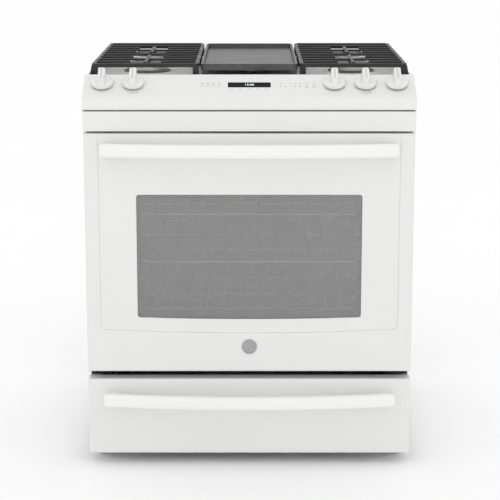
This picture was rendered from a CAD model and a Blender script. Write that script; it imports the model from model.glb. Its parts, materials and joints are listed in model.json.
import json
import math

import bmesh
import bpy
from mathutils import Matrix, Vector, noise


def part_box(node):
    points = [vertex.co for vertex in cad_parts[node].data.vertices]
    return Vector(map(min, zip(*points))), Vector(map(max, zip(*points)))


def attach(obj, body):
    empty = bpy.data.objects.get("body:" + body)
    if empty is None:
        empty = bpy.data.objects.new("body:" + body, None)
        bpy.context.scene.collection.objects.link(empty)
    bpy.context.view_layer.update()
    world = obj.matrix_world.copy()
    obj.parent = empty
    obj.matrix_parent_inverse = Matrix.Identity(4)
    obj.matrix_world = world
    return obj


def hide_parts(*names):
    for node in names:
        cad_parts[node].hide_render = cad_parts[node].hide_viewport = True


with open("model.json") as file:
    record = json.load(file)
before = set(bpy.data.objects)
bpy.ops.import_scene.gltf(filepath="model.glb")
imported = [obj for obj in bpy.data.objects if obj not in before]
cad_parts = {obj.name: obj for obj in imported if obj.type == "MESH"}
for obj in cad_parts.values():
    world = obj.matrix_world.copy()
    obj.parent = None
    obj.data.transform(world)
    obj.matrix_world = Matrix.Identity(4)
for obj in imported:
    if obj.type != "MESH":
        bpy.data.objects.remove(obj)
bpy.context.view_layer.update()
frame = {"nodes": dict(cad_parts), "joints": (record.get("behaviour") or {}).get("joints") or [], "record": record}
scene = bpy.context.scene
scene.view_settings.view_transform = "Standard"

MM = 0.001


# ---------------------------------------------------------------- shader helpers
def add_node(tree, kind, **settings):
    """Add a shader node, setting its properties by name and its sockets by their labels."""
    made = tree.nodes.new(kind)
    for key, value in settings.items():
        if hasattr(made, key):
            setattr(made, key, value)
        else:
            made.inputs[key.replace("_", " ")].default_value = value
    return made


def new_material(name, **sockets):
    """A material with one Principled shader; sockets gives its constant values."""
    made = bpy.data.materials.new(name)
    made.use_nodes = True
    tree = made.node_tree
    tree.nodes.clear()
    output = tree.nodes.new("ShaderNodeOutputMaterial")
    shader = tree.nodes.new("ShaderNodeBsdfPrincipled")
    tree.links.new(shader.outputs["BSDF"], output.inputs["Surface"])
    for key, value in sockets.items():
        shader.inputs[key.replace("_", " ")].default_value = value
    return made, tree, shader


def stretched_coordinates(tree, stretch=(1, 1, 1)):
    """The piece's own coordinates, in metres, scaled along each axis."""
    source = tree.nodes.new("ShaderNodeTexCoord")
    mapping = add_node(tree, "ShaderNodeMapping", vector_type="POINT")
    mapping.inputs["Scale"].default_value = stretch
    tree.links.new(source.outputs["Object"], mapping.inputs["Vector"])
    return mapping.outputs["Vector"]


def noise_field(tree, coordinates, scale, detail=4.0, roughness=0.5):
    """A noise value between 0 and 1."""
    field = add_node(tree, "ShaderNodeTexNoise", Scale=scale, Detail=detail, Roughness=roughness)
    tree.links.new(coordinates, field.inputs["Vector"])
    return field.outputs["Fac"]


def between(tree, value, low, high):
    """Map a noise value onto a range."""
    ranged = add_node(tree, "ShaderNodeMapRange")
    for label, number in (("From Min", 0.3), ("From Max", 0.7), ("To Min", low), ("To Max", high)):
        ranged.inputs[label].default_value = number
    tree.links.new(value, ranged.inputs["Value"])
    return ranged.outputs["Result"]


def ramp(tree, value, stops):
    """Colour a value by a list of (position, colour)."""
    made = tree.nodes.new("ShaderNodeValToRGB")
    while len(made.color_ramp.elements) < len(stops):
        made.color_ramp.elements.new(0.5)
    for element, (place, colour) in zip(made.color_ramp.elements, stops):
        element.position = place
        element.color = (*colour, 1)
    tree.links.new(value, made.inputs["Fac"])
    return made.outputs["Color"]


def roughen(tree, shader, height, distance, strength=1.0):
    """Use a height field, its relief given in metres, as bump."""
    bump = add_node(tree, "ShaderNodeBump", Distance=distance, Strength=strength)
    tree.links.new(height, bump.inputs["Height"])
    tree.links.new(bump.outputs["Normal"], shader.inputs["Normal"])


def tinted(colour, factor):
    """A colour made lighter or darker."""
    return tuple(min(1.0, part * factor) for part in colour)


# ---------------------------------------------------------------- materials
def painted(name, colour, rough, spread=0.012, relief=0.00002, grain=260.0, **sockets):
    """Enamel, powder coat or moulded plastic: near-even colour and gloss, fine orange peel."""
    made, tree, shader = new_material(name, **sockets)
    place = stretched_coordinates(tree)
    tone = noise_field(tree, place, 3.0, 3.0)
    colours = [(0.3, tinted(colour, 1 - spread)), (0.7, tinted(colour, 1 + spread / 2))]
    tree.links.new(ramp(tree, tone, colours), shader.inputs["Base Color"])
    smears = noise_field(tree, stretched_coordinates(tree, (1, 1, 3)), 14.0, 5.0)
    tree.links.new(between(tree, smears, rough * 0.95, rough * 1.06), shader.inputs["Roughness"])
    roughen(tree, shader, noise_field(tree, place, grain, 2.0), relief)
    return made


def speckled_enamel(name, colour, fleck, rough=0.28):
    """Dark porcelain enamel with small pale flecks."""
    made, tree, shader = new_material(name, Coat_Weight=0.3, Coat_Roughness=0.1)
    place = stretched_coordinates(tree)
    cells = add_node(tree, "ShaderNodeTexVoronoi", Scale=420.0, Randomness=1.0)
    tree.links.new(place, cells.inputs["Vector"])
    colours = [(0.0, fleck), (0.16, colour), (1.0, tinted(colour, 1.25))]
    tree.links.new(ramp(tree, cells.outputs["Distance"], colours), shader.inputs["Base Color"])
    wear = noise_field(tree, place, 9.0, 5.0)
    tree.links.new(between(tree, wear, rough * 0.8, rough * 1.4), shader.inputs["Roughness"])
    roughen(tree, shader, noise_field(tree, place, 300.0, 2.0), 0.00003)
    return made


def cast_iron(name, colour, rough, relief=0.00012, wear=0.22):
    """Iron under a thin coating: pitted grain, slight sheen that varies with use."""
    made, tree, shader = new_material(name, Specular_IOR_Level=0.4)
    place = stretched_coordinates(tree)
    tone = noise_field(tree, place, 35.0, 6.0)
    colours = [(0.3, tinted(colour, 0.75)), (0.7, tinted(colour, 1.3))]
    tree.links.new(ramp(tree, tone, colours), shader.inputs["Base Color"])
    worn = noise_field(tree, place, 18.0, 4.0)
    tree.links.new(between(tree, worn, rough * (1 - wear), rough * (1 + wear)), shader.inputs["Roughness"])
    roughen(tree, shader, noise_field(tree, place, 650.0, 4.0, 0.6), relief)
    return made


def metal(name, colour, rough, stretch=(1, 1, 1), scale=60.0, relief=0.00002, **sockets):
    """Bare metal whose grain runs along the least stretched axis."""
    made, tree, shader = new_material(name, Metallic=1.0, **sockets)
    place = stretched_coordinates(tree, stretch)
    grain = noise_field(tree, place, scale, 6.0, 0.6)
    colours = [(0.3, tinted(colour, 0.85)), (0.7, tinted(colour, 1.08))]
    tree.links.new(ramp(tree, grain, colours), shader.inputs["Base Color"])
    tree.links.new(between(tree, grain, rough * 0.75, rough * 1.3), shader.inputs["Roughness"])
    roughen(tree, shader, grain, relief)
    return made


def galvanised(name, colour, rough):
    """Zinc-coated sheet with its spangle."""
    made, tree, shader = new_material(name, Metallic=1.0)
    place = stretched_coordinates(tree)
    spangle = add_node(tree, "ShaderNodeTexVoronoi", Scale=95.0, Randomness=1.0)
    tree.links.new(place, spangle.inputs["Vector"])
    flat = add_node(tree, "ShaderNodeSeparateColor")
    tree.links.new(spangle.outputs["Color"], flat.inputs["Color"])
    colours = [(0.0, tinted(colour, 0.93)), (1.0, tinted(colour, 1.06))]
    tree.links.new(ramp(tree, flat.outputs["Red"], colours), shader.inputs["Base Color"])
    tree.links.new(between(tree, flat.outputs["Green"], rough * 0.92, rough * 1.1),
                   shader.inputs["Roughness"])
    roughen(tree, shader, noise_field(tree, place, 160.0, 3.0), 0.00002)
    return made


def window_glass(name, colour, alpha, dots=False):
    """Clear or tinted glass; dots adds the printed screen of a cool-touch oven window."""
    made, tree, shader = new_material(name, Roughness=0.03, Alpha=alpha, Specular_IOR_Level=0.6)
    place = stretched_coordinates(tree)
    tone = noise_field(tree, place, 2.0, 2.0)
    colours = [(0.3, tinted(colour, 0.97)), (0.7, tinted(colour, 1.03))]
    tree.links.new(ramp(tree, tone, colours), shader.inputs["Base Color"])
    if dots:
        cells = add_node(tree, "ShaderNodeTexVoronoi", Scale=620.0, Randomness=0.0)
        tree.links.new(stretched_coordinates(tree, (1, 0, 1)), cells.inputs["Vector"])
        screen = add_node(tree, "ShaderNodeMapRange")
        for label, number in (("From Min", 0.29), ("From Max", 0.35), ("To Min", 1.0), ("To Max", alpha)):
            screen.inputs[label].default_value = number
        tree.links.new(cells.outputs["Distance"], screen.inputs["Value"])
        tree.links.new(screen.outputs["Result"], shader.inputs["Alpha"])
    return made


def woven(name, colour, scale, rough=0.9):
    """Glass-fibre braid or mineral wool."""
    made, tree, shader = new_material(name, Roughness=rough, Sheen_Weight=0.3)
    place = stretched_coordinates(tree)
    fibres = noise_field(tree, place, scale, 8.0, 0.7)
    colours = [(0.3, tinted(colour, 0.7)), (0.7, tinted(colour, 1.25))]
    tree.links.new(ramp(tree, fibres, colours), shader.inputs["Base Color"])
    roughen(tree, shader, fibres, 0.0004)
    return made


WHITE = (0.76, 0.76, 0.755)
FINISHES = {
    "white_enamel": painted("white_enamel", WHITE, 0.30, Coat_Weight=0.4, Coat_Roughness=0.12),
    "deck_enamel": painted("deck_enamel", (0.60, 0.60, 0.59), 0.42, Coat_Weight=0.1, Coat_Roughness=0.2),
    "handle_white": painted("handle_white", (0.84, 0.84, 0.835), 0.34, grain=420.0),
    "knob_white": painted("knob_white", (0.78, 0.78, 0.775), 0.32, grain=900.0),
    "grate_iron": cast_iron("grate_iron", (0.015, 0.015, 0.016), 0.42),
    "griddle_iron": cast_iron("griddle_iron", (0.06, 0.06, 0.06), 0.40, 0.00004, 0.04),
    "cap_enamel": cast_iron("cap_enamel", (0.012, 0.012, 0.012), 0.45, 0.00004),
    "base_enamel": cast_iron("base_enamel", (0.06, 0.06, 0.06), 0.35, 0.00004),
    "burner_aluminium": metal("burner_aluminium", (0.82, 0.81, 0.79), 0.5, scale=220.0),
    "tube_aluminium": metal("tube_aluminium", (0.74, 0.74, 0.74), 0.35, (1, 0.1, 1), 180.0),
    "galvanised": galvanised("galvanised", (0.52, 0.53, 0.54), 0.38),
    "steel": metal("steel", (0.42, 0.42, 0.43), 0.36, (0.15, 1, 1), 240.0),
    "oven_enamel": speckled_enamel("oven_enamel", (0.05, 0.052, 0.058), (0.40, 0.41, 0.43)),
    "rack_chrome": metal("rack_chrome", (0.86, 0.85, 0.83), 0.40, scale=90.0),
    "window_glass": window_glass("window_glass", (0.40, 0.40, 0.40), 0.12, dots=True),
    "inner_glass": window_glass("inner_glass", (0.30, 0.31, 0.31), 0.08),
    "lamp_glass": window_glass("lamp_glass", (0.85, 0.83, 0.78), 0.55),
    "display_black": painted("display_black", (0.004, 0.004, 0.005), 0.18, relief=0.000002,
                             Specular_IOR_Level=0.1),
    "badge_metal": metal("badge_metal", (0.38, 0.38, 0.39), 0.30, (1, 1, 0.1), 600.0),
    "mineral_wool": woven("mineral_wool", (0.62, 0.55, 0.36), 140.0),
    "gasket_rope": woven("gasket_rope", (0.09, 0.09, 0.09), 500.0),
    "brass": metal("brass", (0.72, 0.54, 0.24), 0.3, scale=300.0),
    "ceramic": painted("ceramic", (0.80, 0.78, 0.72), 0.5, grain=500.0),
    "circuit_board": painted("circuit_board", (0.03, 0.16, 0.08), 0.4, spread=0.3),
}

for part in frame["record"]["subparts"]:
    mesh = frame["nodes"][part["node"]].data
    if not mesh.materials:
        mesh.materials.append(None)
    for index in range(len(mesh.materials)):
        mesh.materials[index] = FINISHES[part["material_slot"]]


# ---------------------------------------------------------------- piece helpers
def make_piece(name, mesh, finish, body, smooth=True):
    """An object around a finished mesh, riding on a body."""
    for face in mesh.polygons:
        face.use_smooth = smooth
    made = bpy.data.objects.new(name, mesh)
    scene.collection.objects.link(made)
    mesh.materials.append(finish)
    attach(made, body)
    return made


# ---------------------------------------------------------------- printed marks on the panel
turns = {joint["name"]: joint for joint in frame["joints"] if joint["name"].startswith("knob_turn_")}
first_turn = next(iter(turns.values()))
OUTWARD = Vector(first_turn["axis"]).normalized()
SIDEWAYS = Vector((1, 0, 0))
UP_SLOPE = OUTWARD.cross(SIDEWAYS)
SLOPE_MIDDLE = Vector((0, *first_turn["pos_m"][1:]))
INK_HEIGHT = 0.15 * MM
DISPLAY_UP = -1 * MM         # the display's middle, from the line through the knobs' middles


def on_slope(x, up, height=INK_HEIGHT):
    """A point of the control panel's slope, from the line through the knobs' middles."""
    return SLOPE_MIDDLE + SIDEWAYS * x + UP_SLOPE * up + OUTWARD * height


def slope_frame(x, up, height=INK_HEIGHT):
    """The matrix that lays a flat drawing on the slope."""
    turn = Matrix((SIDEWAYS, UP_SLOPE, OUTWARD)).transposed().to_4x4()
    return Matrix.Translation(on_slope(x, up, height)) @ turn


def draw_bar(sheet, x, up, width, height):
    """A printed bar with slightly cut corners."""
    cut = min(width, height) * 0.3
    half_w, half_h = width / 2, height / 2
    ring = [
        (half_w - cut, -half_h), (half_w, cut - half_h), (half_w, half_h - cut), (half_w - cut, half_h),
        (cut - half_w, half_h), (-half_w, half_h - cut), (-half_w, cut - half_h), (cut - half_w, -half_h),
    ]
    sheet.faces.new([sheet.verts.new(on_slope(x + a, up + b)) for a, b in ring])


def draw_arc(sheet, x, up, radius, start, stop, thin, thick, steps=18):
    """A printed arc that grows from thin to thick."""
    rows = []
    for step in range(steps + 1):
        share = step / steps
        angle = math.radians(start + (stop - start) * share)
        half = (thin + (thick - thin) * share) / 2
        rows.append([
            sheet.verts.new(on_slope(x + math.cos(angle) * r, up + math.sin(angle) * r))
            for r in (radius - half, radius + half)
        ])
    for low, high in zip(rows, rows[1:]):
        sheet.faces.new((low[0], low[1], high[1], high[0]))


KNOB_ARC = 30.5 * MM
SKIRT_ARC = 25.4 * MM       # just outside a knob's skirt
INK = painted("panel_ink", (0.20, 0.20, 0.21), 0.5, relief=0.000001)
marks = bmesh.new()
for turn in turns.values():
    knob_x = turn["pos_m"][0]
    for start in (200, 340):
        draw_arc(marks, knob_x, 0, SKIRT_ARC, start, 270, 0.3 * MM, 1.5 * MM)
    if "front" in turn["name"]:
        draw_arc(marks, knob_x, -4 * MM, KNOB_ARC, 245, 295, 0.5 * MM, 1.6 * MM)
    draw_arc(marks, knob_x, 0, KNOB_ARC, 10, 35, 0.5 * MM, 0.5 * MM)
    draw_bar(marks, knob_x, 32 * MM, 0.9 * MM, 4 * MM)
# (first x, pitch, columns), (first height over the display's middle, pitch, rows), (bar's width, height)
LEGENDS = [
    ((-108, 13, 4), (6, -9, 2), (7, 1.1)),
    ((132, 16, 2), (7, -9, 3), (9, 1.1)),
    ((-40, 20, 5), (-17, 0, 1), (9, 1.0)),
]
for (first_x, across, columns), (first_up, down, rows), (bar_width, bar_height) in LEGENDS:
    for column in range(columns):
        for row in range(rows):
            draw_bar(marks, (first_x + across * column) * MM, DISPLAY_UP + (first_up + down * row) * MM,
                     bar_width * MM, bar_height * MM)
ink_mesh = bpy.data.meshes.new("panel_marks")
marks.to_mesh(ink_mesh)
marks.free()
make_piece("panel_marks", ink_mesh, INK, "root", smooth=False)


def draw_digits(name, text, x, up, size, height, finish):
    """Digits lying on the slope, as a flat mesh."""
    curve = bpy.data.curves.new(name, "FONT")
    curve.body = text
    curve.size = size
    curve.align_x = "CENTER"
    curve.align_y = "CENTER"
    curve.extrude = 0.02 * MM
    shown = bpy.data.objects.new(name + "_outline", curve)
    mesh = bpy.data.meshes.new_from_object(shown)
    bpy.data.objects.remove(shown)
    mesh.transform(slope_frame(x, up, height))
    mesh.materials.clear()
    return make_piece(name, mesh, finish, "root", smooth=False)


GLOW, glow_tree, glow_shader = new_material("display_glow", Emission_Strength=1.0, Roughness=0.4)
glow_tone = noise_field(glow_tree, stretched_coordinates(glow_tree), 300.0)
glow_colour = ramp(glow_tree, glow_tone, [(0.3, (0.55, 0.72, 0.80)), (0.7, (0.65, 0.82, 0.88))])
glow_tree.links.new(glow_colour, glow_shader.inputs["Base Color"])
glow_tree.links.new(glow_colour, glow_shader.inputs["Emission Color"])
CLOCK_SIZE = 10 * MM
CLOCK_HEIGHT = 0.45 * MM    # over the slope, just above the display's glass
draw_digits("clock_digits", "12:00", 0, DISPLAY_UP, CLOCK_SIZE, CLOCK_HEIGHT, GLOW)
KEY_SIZE = 6 * MM
KEYS_IN_ROW = 5
for number in range(10):
    row, column = divmod(number, KEYS_IN_ROW)
    draw_digits(f"key_digit_{number}", str(number), (72 + 11 * column) * MM,
                DISPLAY_UP + (5 - 12 * row) * MM, KEY_SIZE, INK_HEIGHT, INK)


# ---------------------------------------------------------------- soft pieces
CORNER_STEPS = 8


def rounded_loop(low, high, radius, step):
    """Points round a rectangle in the XZ plane, with arcs at its corners."""
    centres = [(high[0] - radius, high[1] - radius, 0), (low[0] + radius, high[1] - radius, 90),
               (low[0] + radius, low[1] + radius, 180), (high[0] - radius, low[1] + radius, 270)]
    corners = []
    for x, z, start in centres:
        for turn_step in range(CORNER_STEPS + 1):
            angle = math.radians(start + turn_step * 90 / CORNER_STEPS)
            corners.append(Vector((x + radius * math.cos(angle), 0, z + radius * math.sin(angle))))
    points = []
    for here, there in zip(corners, corners[1:] + corners[:1]):
        count = max(1, round((there - here).length / step))
        points += [here.lerp(there, share / count) for share in range(count)]
    return points


ROPE_CORNER = 12 * MM
ROPE_STEP = 2.4 * MM
ROPE_SPOKES = 16
ROPE_STRANDS = 4
ROPE_TWIST = 0.9            # radians of braid per step along the rope
ROPE_RELIEF = (0.93, 0.06)  # mean and swing of the surface, as shares of the rope's radius


def braided_gasket():
    """The door's rope gasket: a tube whose surface has a two-way braid."""
    low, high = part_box("door_gasket")
    radius = (high.y - low.y) / 2
    middle = Vector((0, (low.y + high.y) / 2, 0))
    path = rounded_loop((low.x + radius, low.z + radius), (high.x - radius, high.z - radius),
                        ROPE_CORNER, ROPE_STEP)
    rope = bmesh.new()
    rings = []
    for index, point in enumerate(path):
        ahead = (path[(index + 1) % len(path)] - path[index - 1]).normalized()
        side = Vector((0, 1, 0))
        out = ahead.cross(side).normalized()
        ring = []
        for spoke in range(ROPE_SPOKES):
            angle = 2 * math.pi * spoke / ROPE_SPOKES
            along, across = index * ROPE_TWIST, angle * ROPE_STRANDS
            braid = math.sin(along + across) * math.sin(along - across)
            reach = radius * (ROPE_RELIEF[0] + ROPE_RELIEF[1] * braid)
            offset = (side * math.cos(angle) + out * math.sin(angle)) * reach
            ring.append(rope.verts.new(point + middle + offset))
        rings.append(ring)
    for here, there in zip(rings, rings[1:] + rings[:1]):
        for spoke in range(ROPE_SPOKES):
            after = (spoke + 1) % ROPE_SPOKES
            rope.faces.new((here[spoke], here[after], there[after], there[spoke]))
    bmesh.ops.recalc_face_normals(rope, faces=rope.faces)
    mesh = bpy.data.meshes.new("gasket_braid")
    rope.to_mesh(mesh)
    rope.free()
    piece = make_piece("gasket_braid", mesh, FINISHES["gasket_rope"], "root")
    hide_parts("door_gasket")


braided_gasket()


WOOL_CELL = 11 * MM
WOOL_LUMPS = 28.0           # lumps per metre
WOOL_QUILT = 52.0           # of the quilting's cosine, in radians per metre
WOOL_EDGES = (0.12, 0.04, 0.0)      # how much thinner the first rows from an edge are
FLUE_CLEAR = 8 * MM
LAMP_CLEAR = 34 * MM


def blanket(sheet, low, high, outward, hole):
    """A slab of wool between two corners, flat on the oven's side and lumpy on the outward side.

    outward is (axis, sign); hole(point) is true where the wool is cut away.
    """
    axis, sign = outward
    along = [i for i in range(3) if i != axis]
    cells = [max(2, round((high[i] - low[i]) / WOOL_CELL)) for i in along]
    inner, outer = (low[axis], high[axis]) if sign > 0 else (high[axis], low[axis])
    layers = []
    for level in range(2):
        layer = {}
        for a in range(cells[0] + 1):
            for b in range(cells[1] + 1):
                point = Vector((0, 0, 0))
                for i, step, count in zip(along, (a, b), cells):
                    point[i] = low[i] + (high[i] - low[i]) * step / count
                point[axis] = inner
                if level:
                    lumps = 0.5 + 0.5 * noise.fractal(point * WOOL_LUMPS, 1.0, 2.0, 4)
                    quilt = math.cos(point[along[0]] * WOOL_QUILT) * math.cos(point[along[1]] * WOOL_QUILT)
                    edge = min(a, b, cells[0] - a, cells[1] - b)
                    full = 0.80 + 0.10 * lumps + 0.08 * abs(quilt) - WOOL_EDGES[min(edge, 2)]
                    point[axis] = inner + (outer - inner) * min(1.0, full)
                layer[a, b] = sheet.verts.new(point)
        layers.append(layer)
    kept = set()
    for a in range(cells[0]):
        for b in range(cells[1]):
            middle = (layers[0][a, b].co + layers[0][a + 1, b + 1].co) / 2
            if not hole(middle):
                kept.add((a, b))
    for a, b in kept:
        ring = [(a, b), (a + 1, b), (a + 1, b + 1), (a, b + 1)]
        for layer in layers:
            sheet.faces.new([layer[corner] for corner in ring])
        beside = [(a, b - 1), (a + 1, b), (a, b + 1), (a - 1, b)]
        for start, stop, other in zip(ring, ring[1:] + ring[:1], beside):
            if other not in kept:
                sheet.faces.new((layers[0][start], layers[0][stop], layers[1][stop], layers[1][start]))


def mineral_wool_wrap():
    """Five blankets round the oven, cut away round the flue and the lamp's socket."""
    low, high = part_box("oven_insulation")
    oven_low, oven_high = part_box("oven_liner")
    gap = 0.5 * MM
    flue_low, flue_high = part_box("oven_flue")
    lamp_low, lamp_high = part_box("oven_lamp")
    lamp = (lamp_low + lamp_high) / 2

    def at_flue(point):
        beside = flue_low.x - FLUE_CLEAR < point.x < flue_high.x + FLUE_CLEAR
        return beside and flue_low.y - FLUE_CLEAR < point.y

    def at_lamp(point):
        return math.hypot(point.x - lamp.x, point.z - lamp.z) < LAMP_CLEAR

    def nowhere(point):
        return False

    inner_low = Vector((oven_low.x - gap, low.y, oven_low.z - gap))
    inner_high = Vector((oven_high.x + gap, oven_high.y + gap, oven_high.z + gap))
    wool = bmesh.new()
    blanket(wool, (low.x, low.y, inner_high.z), high, (2, 1), at_flue)
    blanket(wool, low, (high.x, high.y, inner_low.z), (2, -1), nowhere)
    for side, near, far in ((-1, low.x, inner_low.x), (1, inner_high.x, high.x)):
        blanket(wool, (near, low.y, inner_low.z + gap), (far, high.y, inner_high.z - gap), (0, side), nowhere)
    blanket(wool, (inner_low.x + gap, inner_high.y, inner_low.z + gap),
            (inner_high.x - gap, high.y, inner_high.z - gap), (1, 1), at_lamp)
    bmesh.ops.delete(wool, geom=[v for v in wool.verts if not v.link_faces], context="VERTS")
    bmesh.ops.recalc_face_normals(wool, faces=wool.faces)
    mesh = bpy.data.meshes.new("wool_blankets")
    wool.to_mesh(mesh)
    wool.free()
    piece = make_piece("wool_blankets", mesh, FINISHES["mineral_wool"], "root", smooth=False)
    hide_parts("oven_insulation")


mineral_wool_wrap()


# ---------------------------------------------------------------- stage, light and camera
FLOOR_HALF = 40.0


def stage_floor():
    """A plain pale floor."""
    made, tree, shader = new_material("floor_paper", Roughness=0.9)
    tone = noise_field(tree, stretched_coordinates(tree), 1.5, 3.0)
    colours = [(0.3, (0.985, 0.985, 0.985)), (0.7, (0.995, 0.995, 0.995))]
    tree.links.new(ramp(tree, tone, colours), shader.inputs["Base Color"])
    mesh = bpy.data.meshes.new("floor")
    corners = [(-FLOOR_HALF, -FLOOR_HALF, 0), (FLOOR_HALF, -FLOOR_HALF, 0),
               (FLOOR_HALF, FLOOR_HALF, 0), (-FLOOR_HALF, FLOOR_HALF, 0)]
    mesh.from_pydata(corners, [], [(0, 1, 2, 3)])
    mesh.materials.append(made)
    floor = bpy.data.objects.new("floor", mesh)
    scene.collection.objects.link(floor)


def soft_light(name, place, aim, size, power):
    """A square softbox pointed at a spot."""
    lamp = bpy.data.lights.new(name, "AREA")
    lamp.shape = "RECTANGLE"
    lamp.size, lamp.size_y = size
    lamp.energy = power
    made = bpy.data.objects.new(name, lamp)
    made.location = place
    made.rotation_euler = (Vector(aim) - Vector(place)).to_track_quat("-Z", "Y").to_euler()
    scene.collection.objects.link(made)


stage_floor()
world = bpy.data.worlds.new("studio")
world.use_nodes = True
world.node_tree.nodes["Background"].inputs["Color"].default_value = (1, 1, 1, 1)
world.node_tree.nodes["Background"].inputs["Strength"].default_value = 1.0
scene.world = world
soft_light("key_top", (0.0, -1.6, 3.6), (0, 0, 0.6), (3.2, 2.4), 4)
soft_light("front_fill", (0.0, -5.2, 1.1), (0, -0.3, 0.5), (4.0, 2.4), 17)

EYE = (0.0016, -3.803, 1.335)
PITCH = math.radians(11.22)
camera_data = bpy.data.cameras.new("camera")
camera_data.sensor_width = 36
camera_data.lens = 111.9
camera_data.shift_y = -0.10
camera_data.clip_end = 200
camera = bpy.data.objects.new("camera", camera_data)
camera.location = EYE
camera.rotation_euler = (math.pi / 2 - PITCH, 0, 0)
scene.collection.objects.link(camera)
scene.camera = camera
